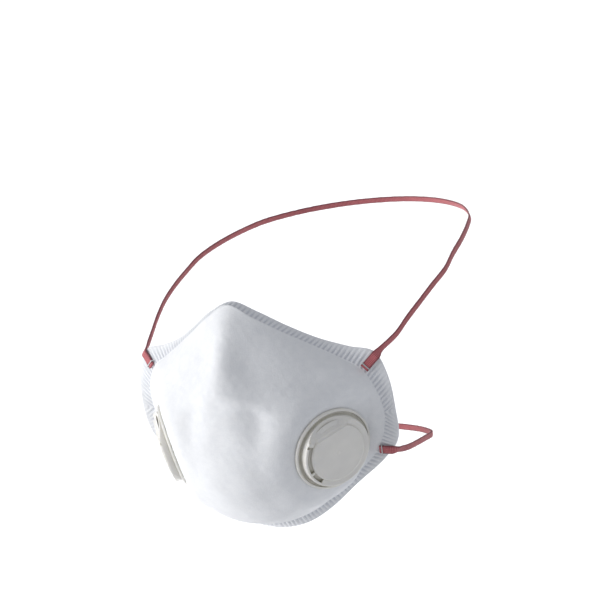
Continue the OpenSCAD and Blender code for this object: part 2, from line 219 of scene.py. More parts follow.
def cup(t, s):
    """Point of the cup's outer face: t goes round the edge, s is 1 at the edge and 0 at the front."""
    e = closed_curve(EDGE, t)
    edge_r = np.linalg.norm(e, axis=-1)
    reach = np.hypot(e[..., 0], e[..., 2])
    angle = np.arccos(-e[..., 1] / edge_r) * s
    way = np.stack([e[..., 0] / reach * np.sin(angle), -np.cos(angle), e[..., 2] / reach * np.sin(angle)], -1)
    p = way * dome_radius(t, s, edge_r)[..., None]
    p[..., 1] -= relief(p[..., 0], p[..., 2]) * (1 - smooth(0.86, 1, s))
    side = np.where(way[..., 0] < 0, -1.0, 1.0)
    out = way.copy()
    out[..., 0] = np.abs(out[..., 0])
    on_pad = out * ((VALVE_AT @ VALVE_N) / np.maximum(0.3, out @ VALVE_N))[..., None]
    reach = np.linalg.norm(on_pad - VALVE_AT, axis=-1)
    weight = (1 - np.clip((reach - PAD_R) / (PAD_BLEND_R - PAD_R), 0, 1)) ** 3 * (1 - smooth(0.965, 1, s))
    on_pad[..., 0] *= side
    return mix(p, on_pad, weight[..., None])


def flange(t, q):
    """Point of the flange's outer face: q is 0 at the cup edge and 1 at the outer edge."""
    return mix(closed_curve(EDGE, t), closed_curve(RIM, t), q[..., None])


def waves(p, length, seed):
    """Smooth uneven field in -1 to 1 with bumps about length across."""
    rng = np.random.default_rng(seed)
    total = np.zeros(p.shape[:-1])
    count = 14
    for _ in range(count):
        way = rng.normal(size=3)
        way *= rng.uniform(0.6, 1.5) * 2 * math.pi / length / np.linalg.norm(way)
        total += np.sin(p @ way + rng.uniform(0, 2 * math.pi))
    return total / math.sqrt(count)


def unit(v):
    return v / np.maximum(np.linalg.norm(v, axis=-1, keepdims=True), 1e-9)


def grid_normals(p, centre=None):
    """Outward normals of a grid whose columns go round, rows from the edge to the front."""
    along = np.roll(p, -1, 1) - np.roll(p, 1, 1)
    last = p[-1:] if centre is None else np.broadcast_to(centre, p[-1:].shape)
    inner = np.concatenate([p[1:], last])
    outer = np.concatenate([p[:1], p[:-1]])
    return unit(np.cross(inner - outer, along))


# ---------------------------------------------------------------- mesh helpers


def solid(front, back, keep=None, centre=None, wrap=True):
    """Closed mesh between two grids of points, rows by columns; the columns go round if wrap is set.
    keep drops cells, and centre is a (front, back) pair of points that closes the last row."""
    rows, cols = front.shape[:2]
    cells = (rows - 1, cols if wrap else cols - 1)
    keep = np.ones(cells, bool) if keep is None else keep
    n = rows * cols
    j, i = np.nonzero(keep)
    i2 = (i + 1) % cols
    a, b, c, d = j * cols + i, j * cols + i2, (j + 1) * cols + i2, (j + 1) * cols + i
    faces = [np.stack([a, b, c, d], 1), np.stack([d, c, b, a], 1) + n]
    padded = np.zeros((cells[0] + 2, cells[1] + 2), bool)
    padded[1:-1, 1:-1] = keep
    if wrap:
        padded[1:-1, 0] = keep[:, -1]
        padded[1:-1, -1] = keep[:, 0]
    if centre is not None:
        padded[-1, 1:-1] = True
    for near, far, dj, di in ((a, b, 0, 1), (c, d, 2, 1), (b, c, 1, 2), (d, a, 1, 0)):
        edge = ~padded[j + dj, i + di]
        near, far = near[edge], far[edge]
        faces.append(np.stack([far, near, near + n, far + n], 1))
    points = [front.reshape(-1, 3), back.reshape(-1, 3)]
    fans = []
    if centre is not None:
        points.append(np.array(centre, float))
        ring = (rows - 1) * cols + np.arange(cols)
        after = (rows - 1) * cols + (np.arange(cols) + 1) % cols
        fans = [[x, y, 2 * n] for x, y in zip(ring, after)]
        fans += [[y + n, x + n, 2 * n + 1] for x, y in zip(ring, after)]
    return np.concatenate(points), np.concatenate(faces).tolist() + fans


def lathe(profile, segments=96):
    """Closed ring turned round z from a closed outline of (radius, height)."""
    outline = np.array(profile, float)
    turn = np.linspace(0, 2 * math.pi, segments, endpoint=False)
    rows = len(outline)
    points = np.stack([outline[:, :1] * np.cos(turn), outline[:, :1] * np.sin(turn),
                       np.broadcast_to(outline[:, 1:], (rows, segments))], -1)
    faces = []
    for j in range(rows):
        j2 = (j + 1) % rows
        for i in range(segments):
            i2 = (i + 1) % segments
            faces.append([j * segments + i, j * segments + i2, j2 * segments + i2, j2 * segments + i])
    return points.reshape(-1, 3), faces


def turned(profile, segments=64):
    """Solid turned round z from an outline of (radius, height) whose ends close on the axis."""
    outline = np.array(profile, float)
    points, faces = lathe(outline[1:-1], segments)
    rows = len(outline) - 2
    faces = faces[: (rows - 1) * segments]
    low, high = len(points), len(points) + 1
    points = np.concatenate([points, [[0, 0, outline[0, 1]], [0, 0, outline[-1, 1]]]])
    for i in range(segments):
        i2 = (i + 1) % segments
        faces.append([i2, i, low])
        faces.append([(rows - 1) * segments + i, (rows - 1) * segments + i2, high])
    return points, faces


def rounded(outline, radius, steps=4):
    """A closed outline with each corner turned into a small curve."""
    pts = np.array(outline, float)
    result = []
    for before, corner, after in zip(np.roll(pts, 1, 0), pts, np.roll(pts, -1, 0)):
        reach_in = min(radius, 0.45 * np.linalg.norm(before - corner))
        reach_out = min(radius, 0.45 * np.linalg.norm(after - corner))
        start = corner + unit(before - corner) * reach_in
        end = corner + unit(after - corner) * reach_out
        for f in np.linspace(0, 1, steps):
            result.append(start * (1 - f) ** 2 + corner * 2 * f * (1 - f) + end * f * f)
    return np.array(result)


def join(*parts):
    """One (points, faces) from several."""
    points, faces, shift = [], [], 0
    for p, f in parts:
        points.append(p)
        faces += [[v + shift for v in face] for face in f]
        shift += len(p)
    return np.concatenate(points), faces


def piece(name, shape, material, body, replaces=(), sharp=38):
    """A mesh object from (points in mm, faces), with unused points dropped and normals outward."""
    points, faces = shape
    used = np.unique(np.concatenate(faces))
    index = np.full(len(points), -1)
    index[used] = np.arange(len(used))
    points = points[used] * MM
    faces = [[int(index[v]) for v in f] for f in faces]
    mesh = bpy.data.meshes.new(name)
    mesh.from_pydata(points.tolist(), [], faces)
    fan = [(f[0], f[k], f[k + 1]) for f in faces for k in range(1, len(f) - 1)]
    tri = points[np.array(fan)]
    if np.einsum("ij,ij->i", tri[:, 0], np.cross(tri[:, 1], tri[:, 2])).sum() < 0:
        mesh.flip_normals()
    mesh.polygons.foreach_set("use_smooth", np.ones(len(mesh.polygons), bool))
    mesh.set_sharp_from_angle(angle=math.radians(sharp))
    mesh.update()
    mesh.materials.append(material)
    obj = bpy.data.objects.new(name, mesh)
    bpy.context.scene.collection.objects.link(obj)
    if replaces:
        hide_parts(*replaces)
    if body:
        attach(obj, body)
    return obj


# ---------------------------------------------------------------- materials

# Width of the stapled band ends, on which the band's own coordinates are based
END_W = 4.6


class Nodes:
    """Short calls for one material's node tree."""

    def __init__(self, name):
        self.material = bpy.data.materials.new(name)
        self.material.use_nodes = True
        self.tree = self.material.node_tree
        self.shader = self.tree.nodes["Principled BSDF"]

    def add(self, kind, **values):
        node = self.tree.nodes.new(kind)
        for key, value in values.items():
            if hasattr(node, key) and not isinstance(value, bpy.types.NodeSocket):
                setattr(node, key, value)
        return node

    def link(self, source, target):
        self.tree.links.new(source, target)

    def place(self, scale=(1, 1, 1)):
        """Object coordinates, in metres, stretched by scale."""
        coords = self.add("ShaderNodeTexCoord")
        mapping = self.add("ShaderNodeMapping")
        mapping.inputs["Scale"].default_value = scale
        self.link(coords.outputs["Object"], mapping.inputs["Vector"])
        return mapping.outputs["Vector"]

    def noise(self, vector, scale, detail=3, rough=0.55, distortion=0.0):
        node = self.add("ShaderNodeTexNoise")
        node.inputs["Scale"].default_value = scale
        node.inputs["Detail"].default_value = detail
        node.inputs["Roughness"].default_value = rough
        node.inputs["Distortion"].default_value = distortion
        self.link(vector, node.inputs["Vector"])
        return node.outputs["Fac"]

    def ramp(self, fac, low, high, places=(0.3, 0.7)):
        node = self.add("ShaderNodeValToRGB")
        for element, place, colour in zip(node.color_ramp.elements, places, (low, high)):
            element.position = place
            element.color = (*colour, 1)
        self.link(fac, node.inputs["Fac"])
        return node.outputs["Color"]

    def multiply(self, a, b, share=1.0):
        node = self.add("ShaderNodeMix", data_type="RGBA")
        node.blend_type = "MULTIPLY"
        node.inputs["Factor"].default_value = share
        self.link(a, node.inputs["A"])
        self.link(b, node.inputs["B"])
        return node.outputs["Result"]

    def bump(self, height, strength, distance, normal=None):
        node = self.add("ShaderNodeBump")
        node.inputs["Strength"].default_value = strength
        node.inputs["Distance"].default_value = distance
        self.link(height, node.inputs["Height"])
        if normal is not None:
            self.link(normal, node.inputs["Normal"])
        return node.outputs["Normal"]

    def finish(self, colour, normal, roughness, **sockets):
        self.link(colour, self.shader.inputs["Base Color"])
        self.link(normal, self.shader.inputs["Normal"])
        if isinstance(roughness, float):
            self.shader.inputs["Roughness"].default_value = roughness
        else:
            self.link(roughness, self.shader.inputs["Roughness"])
        for key, value in sockets.items():
            self.shader.inputs[key.replace("_", " ")].default_value = value
        return self.material


def web_material(name, low, high, fuzz, fibre_depth, weld_tone_and_groove_shade=None):
    """Nonwoven web: cloudy base, short fibres lying in three directions and a soft sheen."""
    m = Nodes(name)
    clouds = m.noise(m.place(), 260, detail=4, rough=0.6)
    colour = m.ramp(clouds, low, high, (0.25, 0.75))
    speckle = m.noise(m.place(), 2600, detail=2, rough=0.6)
    colour = m.multiply(colour, m.ramp(speckle, (0.94, 0.945, 0.95), (1, 1, 1), (0.25, 0.6)))
    # The attribute darkens the flange's grooves. This is partly the denser weld's own tone and partly painted
    # shade in the grooves, strongest near the cup edge.
    if weld_tone_and_groove_shade:
        weld_tone_and_groove_shade_node = m.add("ShaderNodeAttribute", attribute_name=weld_tone_and_groove_shade)
        colour = m.multiply(colour, m.ramp(weld_tone_and_groove_shade_node.outputs["Fac"], (1, 1, 1), (0.78, 0.79, 0.82), (0.1, 0.9)))
    fibres = None
    for stretch in ((1, 0.12, 0.5), (0.35, 1, 0.14), (0.16, 0.5, 1)):
        strand = m.noise(m.place(stretch), 2300, detail=3, rough=0.65, distortion=0.4)
        fibres = m.bump(strand, 0.5, fibre_depth, fibres)
    normal = m.bump(clouds, 0.5, fuzz, fibres)
    m.shader.inputs["Sheen Weight"].default_value = 0.25
    m.shader.inputs["Sheen Roughness"].default_value = 0.6
    return m.finish(colour, normal, 0.93, Specular_IOR_Level=0.2)


def plastic_material(name, low, high, roughness, subsurface):
    """Moulded polypropylene: faint clouding, a fine moulded grain and painted shade that darkens crevices."""
    m = Nodes(name)
    clouds = m.noise(m.place(), 120, detail=3)
    colour = m.ramp(clouds, low, high)
    # Ambient occlusion tints the colour olive-grey in crevices such as the groove round the cover: painted
    # shade.
    crevice_shade = m.add("ShaderNodeAmbientOcclusion")
    crevice_shade.inputs["Distance"].default_value = 0.0022
    crevice_shade.samples = 8
    colour = m.multiply(colour, m.ramp(crevice_shade.outputs["AO"], (0.62, 0.6, 0.5), (1, 1, 1), (0.3, 0.85)))
    grain = m.noise(m.place(), 3800, detail=2)
    normal = m.bump(grain, 0.25, 0.00004)
    m.shader.inputs["Subsurface Weight"].default_value = subsurface
    m.shader.inputs["Subsurface Radius"].default_value = (0.003, 0.0028, 0.002)
    m.shader.inputs["Subsurface Scale"].default_value = 0.5
    rough = m.add("ShaderNodeMapRange")
    rough.inputs["To Min"].default_value = roughness - 0.05
    rough.inputs["To Max"].default_value = roughness + 0.07
    m.link(clouds, rough.inputs["Value"])
    return m.finish(colour, normal, rough.outputs["Result"], Specular_IOR_Level=0.45)


def metal_material(name, colour_low, colour_high, roughness, stretch):
    m = Nodes(name)
    scratches = m.noise(m.place(stretch), 1500, detail=4, rough=0.7)
    colour = m.ramp(scratches, colour_low, colour_high)
    normal = m.bump(scratches, 0.3, 0.00003)
    return m.finish(colour, normal, roughness, Metallic=1.0)


def band_material():
    """Knitted elastic: V-shaped loops in wales along the band, from the band's own coordinates."""
    m = Nodes("strap_elastic")
    uv = m.add("ShaderNodeUVMap")
    uv.uv_map = "band"
    split = m.add("ShaderNodeSeparateXYZ")
    m.link(uv.outputs["UV"], split.inputs["Vector"])

    def maths(kind, a, b=None):
        node = m.add("ShaderNodeMath")
        node.operation = kind
        for socket, value in zip(node.inputs, (a, b)):
            if isinstance(value, (int, float)):
                socket.default_value = value
            elif value is not None:
                m.link(value, socket)
        return node.outputs["Value"]

    # u runs along the band and v across it, both in millimetres
    across = maths("MULTIPLY", split.outputs["Y"], 2 * math.pi / 0.9)
    wale = maths("ABSOLUTE", maths("SINE", maths("MULTIPLY", across, 0.5)))
    slant = maths("MULTIPLY", maths("ABSOLUTE", maths("SINE", across)), 1.4)
    rows = maths("SINE", maths("ADD", maths("MULTIPLY", split.outputs["X"], 2 * math.pi / 0.75), slant))
    stitch = maths("MULTIPLY", wale, maths("ADD", maths("MULTIPLY", rows, 0.5), 0.5))
    fuzz = m.noise(m.place(), 2600, detail=3)
    height = maths("ADD", stitch, maths("MULTIPLY", fuzz, 0.35))
    # Colour follows the stitch height with a little fuzz: the low parts between the loops are darker, which is
    # painted shade in the knit's hollows.
    colour = m.ramp(height, (0.42, 0.09, 0.105), (0.78, 0.27, 0.285), (0.1, 0.95))
    fade = m.noise(m.place(), 90, detail=2)
    colour = m.multiply(colour, m.ramp(fade, (0.86, 0.84, 0.85), (1, 1, 1)))
    # Darker towards both edges of the band: painted shade where the rounded edges turn away from the light.
    edge_shade = maths("ABSOLUTE", maths("MULTIPLY", split.outputs["Y"], 2 / END_W))
    colour = m.multiply(colour, m.ramp(edge_shade, (1, 1, 1), (0.42, 0.42, 0.46), (0.55, 0.95)))
    normal = m.bump(height, 0.8, 0.00018)
    m.shader.inputs["Sheen Weight"].default_value = 0.35
    m.shader.inputs["Sheen Tint"].default_value = (0.95, 0.7, 0.7, 1)
    return m.finish(colour, normal, 0.8, Specular_IOR_Level=0.25)


def foam_material():
    """Open-cell foam: small round pits of two sizes."""
    m = Nodes("seal_foam")
    cells = m.add("ShaderNodeTexVoronoi")
    cells.inputs["Scale"].default_value = 1500
    m.link(m.place(), cells.inputs["Vector"])
    coarse = m.noise(m.place(), 700, detail=3)
    # Darker towards each pit's centre: painted shade inside the pits.
    colour = m.ramp(cells.outputs["Distance"], (0.1, 0.105, 0.115), (0.34, 0.35, 0.37), (0.05, 0.5))
    normal = m.bump(cells.outputs["Distance"], 0.9, 0.0003)
    normal = m.bump(coarse, 0.4, 0.0004, normal)
    return m.finish(colour, normal, 0.95, Specular_IOR_Level=0.1)


WEB = web_material("shell_web", (0.83, 0.845, 0.87), (0.9, 0.91, 0.925), 0.0002, 0.00011)
WELD = web_material("shell_weld", (0.8, 0.815, 0.84), (0.87, 0.88, 0.9), 0.00008, 0.00006, "weld_tone_and_groove_shade")
FILTER = web_material("filter_web", (0.78, 0.79, 0.8), (0.86, 0.87, 0.88), 0.0003, 0.00012)
LINING = web_material("lining_web", (0.84, 0.845, 0.84), (0.9, 0.9, 0.895), 0.00012, 0.00006)
PLASTIC = plastic_material("valve_plastic", (0.77, 0.755, 0.72), (0.82, 0.805, 0.765), 0.4, 0.12)
SILICONE = plastic_material("valve_silicone", (0.78, 0.77, 0.72), (0.84, 0.83, 0.78), 0.5, 0.25)
STRIP = metal_material("nose_strip", (0.6, 0.61, 0.62), (0.78, 0.79, 0.8), 0.38, (0.05, 1, 1))
WIRE = metal_material("staple_wire", (0.5, 0.5, 0.51), (0.74, 0.74, 0.75), 0.32, (1, 1, 0.1))
BAND = band_material()
FOAM = foam_material()

# ---------------------------------------------------------------- the three webs of the cup

# Share of the flange's width that each web reaches onto it
WEB_LIP = 0.04
# The webs stop this far from a valve's axis, under the valve's weld flange
PORT_R = 13.9
PORT_REACH = 12


def layer_depth(k, s):
    """Depth of layer face k below the outer face: full in the cup, thin at its edge."""
    return k * mix(LAYER_T, FLANGE_LAYER_T, smooth(0.93, 1, s))


def web(name, k, columns, rows, material, replaces, raised):
    """One moulded layer, with a lip that reaches onto the flange and holes for the valves."""
    t = np.arange(columns) * STATIONS / columns
    s = np.linspace(1, 1 / rows, rows)
    grid_t, grid_s = np.meshgrid(t, s)
    skin = cup(grid_t, grid_s)
    lip = flange(t, np.full(columns, WEB_LIP))[None]
    skin = np.concatenate([lip, skin])
    depth_s = np.concatenate([np.ones((1, columns)), grid_s])
    tip = cup(np.zeros(1), np.zeros(1))[0]
    normals = grid_normals(skin, tip)
    lumps = 0.045 * waves(skin, 11, 3) + 0.03 * waves(skin, 4.2, 4)
    lumps = lumps * (1 - smooth(0.9, 1, depth_s))
    lift = np.where(depth_s > 0.999, raised, 0) + lumps
    front = skin + normals * (lift - layer_depth(k, depth_s))[..., None]
    back = skin + normals * (lumps * (k < 2) - layer_depth(k + 1, depth_s) - 0.02 * (k == 2))[..., None]
    axis = skin.copy()
    axis[..., 0] = np.abs(axis[..., 0])
    away = axis - VALVE_AT
    off_axis = np.linalg.norm(away - (away @ VALVE_N)[..., None] * VALVE_N, axis=-1)
    near = (off_axis < PORT_R) & (np.abs(away @ VALVE_N) < PORT_REACH)
    hole = near[:-1] & near[1:] & np.roll(near, -1, 1)[:-1] & np.roll(near, -1, 1)[1:]
    points = (tip + [0, k * LAYER_T, 0], tip + [0, (k + 1) * LAYER_T, 0])
    return piece(name, solid(front, back, ~hole, points), material, MASK, replaces)


# ---------------------------------------------------------------- the ribbed weld flange

RIB_PITCH = 2.5
RIB_SAMPLES = 8
RIB_DEPTH = 0.5
# Station at the cheek where the ribs turn back
KINK_T = 7.0
# Slant of the ribs at stations of the flange, as sideways run over width
SLANT = [(0, 0), (1, -0.07), (3, -0.1), (4, 0.05), (5, 0.05), (5.4, 0.08), (6.2, 0.22), (6.95, 0.34),
         (7.1, 0.95), (7.35, 0.85), (7.7, 0.42), (8.2, 0.08), (8.7, -0.15), (9.2, -0.35), (10, -0.45),
         (11, -0.33), (12, -0.14), (13, 0)]
FLANGE_T = 3 * FLANGE_LAYER_T
FLANGE_ROWS = np.array([-0.07, 0, 0.03, 0.06, 0.09, 0.13, 0.18, 0.25, 0.34, 0.44, 0.54, 0.64, 0.73, 0.81,
                        0.87, 0.92, 0.96, 0.985, 1.0])


def flange_weld():
    """The weld flange: shallow ribs embossed across it, deepest at the cup, and a plain outer edge; the grooves
    are coloured darker, partly as the denser weld's tone and partly as painted shade.
    """
    fine = np.linspace(0, STATIONS, 5201)
    middle = flange(fine % STATIONS, np.full(len(fine), 0.5))
    run = np.concatenate([[0], np.cumsum(np.linalg.norm(np.diff(middle, axis=0), axis=1))])
    ribs = 2 * round(run[-1] / RIB_PITCH / 2)
    columns = ribs * RIB_SAMPLES
    pitch = run[-1] / ribs
    length = np.arange(columns) * run[-1] / columns
    t = np.interp(length, run, fine)
    half_t = np.minimum(t, STATIONS - t)
    half_run = np.minimum(length, run[-1] - length)
    kink_run = np.interp(KINK_T, fine, run)
    folded = kink_run - np.abs(half_run - kink_run)
    slant = np.interp(half_t, *zip(*SLANT))
    grid_t, grid_q = np.meshgrid(t, FLANGE_ROWS)
    skin = flange(grid_t, grid_q)
    width = np.linalg.norm(closed_curve(RIM, t) - closed_curve(EDGE, t), axis=-1)
    normals = unit(np.cross(skin[:1] - skin[-1:], np.roll(skin, -1, 1)[5:6] - np.roll(skin, 1, 1)[5:6]))
    normals = np.broadcast_to(normals, skin.shape)
    phase = (folded + np.clip(grid_q, 0, 1) * width * slant) / pitch
    groove = (0.5 - 0.5 * np.cos(2 * math.pi * phase)) ** 1.35
    ends = smooth(0.015, 0.09, grid_q) * (1 - smooth(0.93, 0.985, grid_q))
    ends = ends * (1 - 0.7 * smooth(0.3, 0.93, grid_q))
    edge = 0.35 * smooth(0.95, 1.0, grid_q) ** 2
    tuck = 0.3 * (grid_q < 0)
    front = skin - normals * (RIB_DEPTH * groove * ends + edge + tuck)[..., None]
    back = skin - normals * (FLANGE_T - 0.5 * RIB_DEPTH * (1 - groove) * ends - edge - tuck)[..., None]
    obj = piece("flange_weld", solid(front[::-1], back[::-1]), WELD, MASK)
    # Groove share for the colour: painted shade in the grooves, deepest near the cup edge, mixed with the
    # weld's own darker tone; the back face gets less.
    weld_tone_and_groove_shade = obj.data.attributes.new("weld_tone_and_groove_shade", "FLOAT", "POINT")
    share = np.broadcast_to(groove * ends, front.shape[:2])[::-1].ravel()
    weld_tone_and_groove_shade.data.foreach_set("value", np.concatenate([share, 0.4 * share]).astype(np.float32))
    return obj


# ---------------------------------------------------------------- nose pad and strip


def nose_foam():
    """Crowned foam strip on the lining below the nose edge, over the aluminium strip."""
    half_t = 8 * STATIONS / 64
    length, width = 96, 22
    v = np.linspace(-1, 1, width)
    u = np.linspace(-1, 1, length)
    s_mid, s_half = 0.862, 0.098
    grid_u, grid_v = np.meshgrid(u, v)
    round_end = np.sqrt(np.clip(1 - np.abs(grid_u) ** 8, 0, 1))
    t = (grid_u * half_t) % STATIONS
    skin = cup(t, s_mid - grid_v * s_half * (0.35 + 0.65 * round_end))
    along = np.gradient(skin, axis=1)
    across = np.gradient(skin, axis=0)
    normals = unit(np.cross(across, along))
    crown = np.sqrt(np.clip(1 - np.abs(grid_v) ** 3.2, 0, 1)) * round_end
    lumps = 0.12 * waves(skin, 5, 8)
    base = 3 * LAYER_T + 0.05
    top = base + 0.15 + 4.1 * crown + lumps * crown
    shape = solid(skin - normals * base, skin - normals * top[..., None], wrap=False)
    obj = piece("nose_pad", shape, FOAM, MASK, ["nose_foam"], sharp=60)
    return obj


# ---------------------------------------------------------------- valves


def at_valve(points, side):
    """Points from the valve's own frame, z out of the mask, x towards the ear, y up."""
    ear = np.array([math.cos(VALVE_TURN), math.sin(VALVE_TURN), 0])
    up = np.cross(VALVE_N, ear)
    placed = VALVE_AT + VALVE_N * SEAT_GAP + points @ np.stack([ear, up, VALVE_N])
    placed[:, 0] *= side
    return placed


def box_part(low, high, turn):
    """A spoke: a box from corner low to corner high, turned round z."""
    (x0, y0, z0), (x1, y1, z1) = low, high
    bevel = 0.2
    outline = rounded([[y0, z0], [y1, z0], [y1, z1], [y0, z1]], bevel, 3)
    rows = np.array([[[x, y, z] for y, z in outline] for x in (x0, x1)])
    n = len(outline)
    c, s = math.cos(turn), math.sin(turn)
    points = rows.reshape(-1, 3) @ np.array([[c, s, 0], [-s, c, 0], [0, 0, 1]])
    faces = [[i, (i + 1) % n, n + (i + 1) % n, n + i] for i in range(n)]
    faces += [list(range(n))[::-1], list(range(n, 2 * n))]
    return points, faces


CHORD_TURN = math.radians(122)
CHORD_AT = 11.7
SHOULDER_TOP = 5.95
SHOULDER_SLOPE = math.tan(math.radians(29))
COVER_FOOT = 1.02
DISC_TOP = 6.2
# Radius of the cover's hollow, and its height as a share of the outer height
COVER_INSIDE_R = 17.3
COVER_INSIDE_H = 0.78
# Outlet slots, and the notch in the rim at the end of the long one, in degrees round the valve
OUTLETS = ((170, 222), (226, 250))
NOTCH = (170, 174)
# Radius and height of the cover's outer face, from the foot of its wall to its centre
COVER_PROFILE = [
    (18.8, COVER_FOOT), (18.8, 1.6), (18.79, 2.6), (18.77, 3.6), (18.72, 4.4), (18.62, 4.9), (18.45, 5.24),
    (18.2, 5.46), (17.95, 5.52), (17.65, 5.5), (17.42, 5.42), (15.3, 5.4), (15.28, 5.55), (15.2, 5.78),
    (15.05, 5.98), (14.85, 6.14), (14.6, 6.24), (14.3, 6.28), (14.0, 6.27), (13.7, 6.23), (13.4, DISC_TOP),
]
# Rows of that outline: the slots open one, and the notch reaches down to the other
SLOT_ROW = 10
NOTCH_ROW = 5


def valve_cover_shape():
    """Round cover with outlet slots, a raised flat face and a shoulder that slopes from a chord."""
    columns = 360
    inner_r = np.concatenate([np.linspace(13.0, 2.8, 40), [2.4, 2.0, 1.7, 1.4, 1.1, 0.7, 0.3]])
    gate = 0.14 * (1 - smooth(1.3, 2.2, inner_r)) * smooth(0.2, 1.0, inner_r)
    profile = np.array(COVER_PROFILE + list(zip(inner_r, DISC_TOP - gate)))
    turn = np.radians(np.arange(columns))
    r = np.broadcast_to(profile[:, :1], (len(profile), columns))
    z = np.broadcast_to(profile[:, 1:], r.shape)
    reach = r * np.cos(turn - CHORD_TURN) - CHORD_AT
    slope = SHOULDER_TOP - reach * SHOULDER_SLOPE + 0.3 * np.exp(-(((reach - 1.5) / 0.45) ** 2))
    lowered = np.minimum(z, np.maximum(slope, COVER_FOOT + 0.35 * smooth(18.85, 18.2, r)))
    z = mix(z, lowered, smooth(-0.25, 0.45, reach))
    front = np.stack([r * np.cos(turn), r * np.sin(turn), z], -1)
    inside_r = np.minimum(r, COVER_INSIDE_R)
    inside_z = COVER_FOOT + (z - COVER_FOOT) * COVER_INSIDE_H
    back = np.stack([inside_r * np.cos(turn), inside_r * np.sin(turn), inside_z], -1)
    keep = np.ones((len(profile) - 1, columns), bool)
    for low, high in OUTLETS:
        keep[SLOT_ROW, low:high] = False
    keep[NOTCH_ROW:SLOT_ROW, NOTCH[0]:NOTCH[1]] = False
    centre = ([0, 0, DISC_TOP], [0, 0, COVER_FOOT + (DISC_TOP - COVER_FOOT) * COVER_INSIDE_H])
    baffle = lathe(rounded([(14.9, 3.5), (17.3, 3.5), (17.3, 3.7), (14.9, 4.5)], 0.15, 3), 96)
    return join(solid(front, back, keep, centre), baffle)


def valve_seat_shape():
    """Weld flange with a raised ring and a groove, collar, barrel, spokes, hub and pin."""
    ring = rounded([
        (11.55, -4.2), (12.75, -4.2), (12.75, 0), (21.8, 0), (21.8, 0.8), (21.4, 1.5), (20.5, 1.5),
        (20.35, 0.45), (19.0, 0.4), (18.9, 1.0), (17.05, 1.0), (17.05, 1.6), (16.25, 1.6), (16.25, 1.0),
        (12.75, 1.0), (12.75, 1.8), (11.55, 1.8)], 0.2)
    hub = turned([(0, -0.5), (2.7, -0.5), (3, -0.3), (3, 1.5), (2.8, 1.7), (1.5, 1.75), (1.4, 1.85), (1.4, 3.5),
                  (1.3, 3.7), (1.0, 3.8), (0, 3.8)], 48)
    spokes = [box_part((2.6, -0.65, -0.5), (11.8, 0.65, 1.0), math.radians(45 + 90 * k)) for k in range(4)]
    return join(lathe(ring, 144), hub, *spokes)


def valves():
    seat = valve_seat_shape()
    cover = valve_cover_shape()
    flap = lathe(rounded([(1.48, 1.82), (13.6, 1.82), (13.6, 2.14), (12.2, 2.22), (1.48, 2.22)], 0.1, 3), 96)
    backing = lathe(rounded([(12.9, -4.15), (21, -4.15), (21, -2.75), (12.9, -2.75)], 0.45), 120)
    made = (("seat", seat, PLASTIC, MASK, "valve_plastic", "valve_seat"),
            ("cover", cover, PLASTIC, MASK, "valve_plastic", "valve_cover"),
            ("diaphragm", flap, SILICONE, None, "valve_silicone", "valve_diaphragm"),
            ("backing_ring", backing, PLASTIC, MASK, "valve_plastic", "valve_backing_ring"))
    for side, hand in ((1, "left"), (-1, "right")):
        for part, (points, faces), material, body, slot, node in made:
            shape = (at_valve(points, side), faces)
            piece(f"{hand}_{part}", shape, material, body or f"{hand}_flap", [f"{hand}_{node}"])


# ---------------------------------------------------------------- bands and staples

# Middle of each free loop on the wearer's left side; the last point is behind the head
UPPER_ROUTE = [
    [68.8, -6.5, 34.9], [72, 3.5, 42], [74, 12, 50], [76, 22.5, 58.5], [77, 34, 66.5], [77.5, 48, 75],
    [76, 60, 83], [72.5, 78, 91.5], [66.5, 98, 99.5], [60, 113, 104.5], [46, 132, 110],
    [25, 146, 114], [0, 152, 115.5],
]
LOWER_ROUTE = [
    [70.2, 9.7, -16.2], [69.6, 22, -15.5], [67.6, 37, -13.7], [65, 50, -12.3], [60, 68, -11],
    [53, 78, -10.2], [41, 88, -9.3], [22, 95.5, -8.5], [0, 98, -8],
]
# Points that the flat side of each band faces away from
UPPER_HUB = np.array([0, 30, 55.0])
LOWER_HUB = np.array([0, 35, -12.0])
# Stations each band end joins, on the cup edge and on the flange's outer edge
UPPER_AT = (5.12, 5.12)
LOWER_AT = (8.7, 8.5)
# Length of each band end on the flange
UPPER_END = 9.6
LOWER_END = 6.8
LOOP_W = 3.2
BAND_T = 1.0
END_LIFT = 0.3
END_INSET = 1.5


def flange_frame(stations):
    """Outer edge point, outward direction and face normal of the flange where a band end lies."""
    inner, outer = stations
    at = lambda p, x: closed_curve(p, np.array([x]))[0]
    out = unit(at(RIM, outer) - at(EDGE, inner))
    along = at(EDGE, inner + 0.3) - at(EDGE, inner - 0.3) + at(RIM, outer + 0.3) - at(RIM, outer - 0.3)
    return at(RIM, outer), out, unit(np.cross(along, out))


def open_curve(points, t):
    p = np.concatenate([[2 * points[0] - points[1]], points, [2 * points[-1] - points[-2]]])
    k = np.clip(np.floor(t).astype(int), 0, len(points) - 2)
    return between(p[k], p[k + 1], p[k + 2], p[k + 3], (t - k)[:, None])


